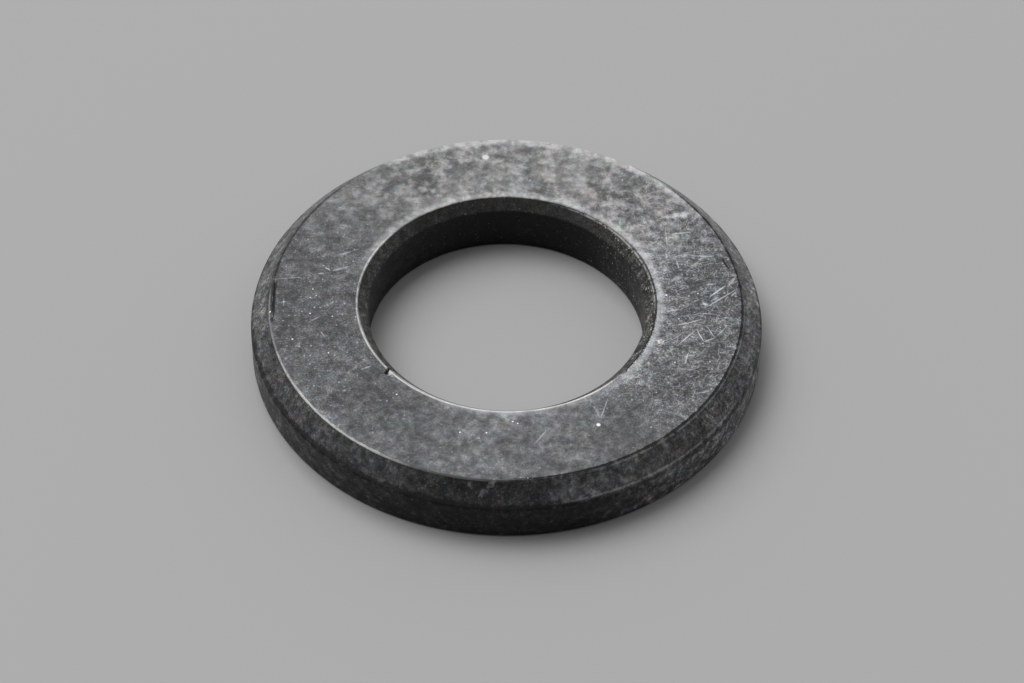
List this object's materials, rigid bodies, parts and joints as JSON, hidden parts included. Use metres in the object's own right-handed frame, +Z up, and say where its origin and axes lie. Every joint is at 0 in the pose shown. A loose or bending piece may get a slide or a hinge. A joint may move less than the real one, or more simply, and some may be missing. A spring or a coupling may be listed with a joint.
{
  "type": "cylinder head bolt washer",
  "caption": "Thick hardened steel washer for a cylinder head bolt: a flat ring with a wide outer chamfer and a bevel at the mouth of its bore, dark finish worn bright at the edges.",
  "frame": {"origin": "centre of the lower face, on the bore's axis", "axes": "+Z up along the bore's axis, from the lower face to the chamfered upper face; +X to the right in the picture, +Y away from the camera"},
  "size_m": [0.024, 0.024, 0.0028],
  "materials": {
    "dark_steel": "dark phosphated and oiled steel, mottled and scratched, worn bright along its edges"
  },
  "bodies": {
    "root": {"washer": "dark_steel"}
  },
  "joints": []
}
